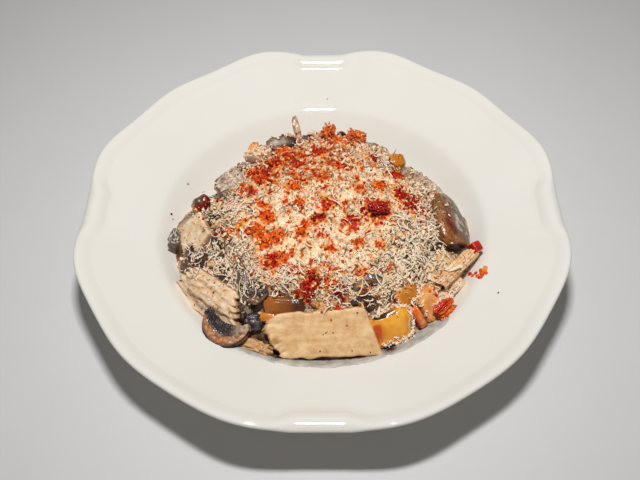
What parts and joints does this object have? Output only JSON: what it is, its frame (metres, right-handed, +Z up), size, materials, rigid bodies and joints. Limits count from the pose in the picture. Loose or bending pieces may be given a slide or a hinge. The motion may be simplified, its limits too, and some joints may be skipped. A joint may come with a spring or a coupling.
{
  "type": "plate of pasta",
  "caption": "Deep scalloped porcelain plate of creamy pasta with sliced chicken and mushrooms under grated cheese and chilli.",
  "frame": {"origin": "on the table under the middle of the plate", "axes": "+Z up, -Y towards the diner, +X to the diner's right"},
  "size_m": [0.2878, 0.2878, 0.057],
  "materials": {
    "porcelain": "warm white gloss glaze",
    "sauced_pasta": "moist, coated in cream sauce",
    "cheese": "dry fine shreds",
    "chicken": "moist, fibrous, peppered",
    "mushroom": "cooked, wet, dark gills",
    "golden_pasta": "glossy, oily",
    "pasta": "ridged, moist",
    "pepper": "wet, deep red to orange"
  },
  "bodies": {
    "root": {"plate": "porcelain", "red_pepper_cube": "pepper", "red_pepper_on_top": "pepper", "red_pepper_at_front": "pepper", "red_pepper_at_back": "pepper", "red_pepper_behind": "pepper", "orange_pepper_strip": "pepper", "red_pepper_at_side": "pepper", "mushroom_cap_right": "mushroom", "mushroom_slice_back_right": "mushroom", "mushroom_cap_back": "mushroom", "mushroom_stem_back": "mushroom", "mushroom_cap_back_left": "mushroom", "mushroom_button_left": "mushroom", "mushroom_slice_front_left": "mushroom", "mushroom_button_front": "mushroom", "mushroom_stem_left": "mushroom", "mushroom_slice_front": "mushroom", "mushroom_slice_left": "mushroom", "mushroom_slice_gills_up": "mushroom", "mushroom_bit_left": "mushroom", "pasta_tube": "pasta", "chicken_slice_front": "chicken", "chicken_slice_left": "chicken", "chicken_strip_upper": "chicken", "chicken_strip_lower": "chicken", "chicken_slice_right": "chicken", "chicken_slice_back_left": "chicken", "chicken_bit_left": "chicken", "chicken_bit_front": "chicken", "golden_pasta_front_right": "golden_pasta", "golden_pasta_upper_right": "golden_pasta", "golden_pasta_side": "golden_pasta", "golden_pasta_behind": "golden_pasta", "golden_pasta_back_left": "golden_pasta", "golden_pasta_front_left": "golden_pasta", "golden_pasta_front": "golden_pasta", "grated_cheese": "cheese", "pasta_mound": "sauced_pasta"}
  },
  "joints": []
}
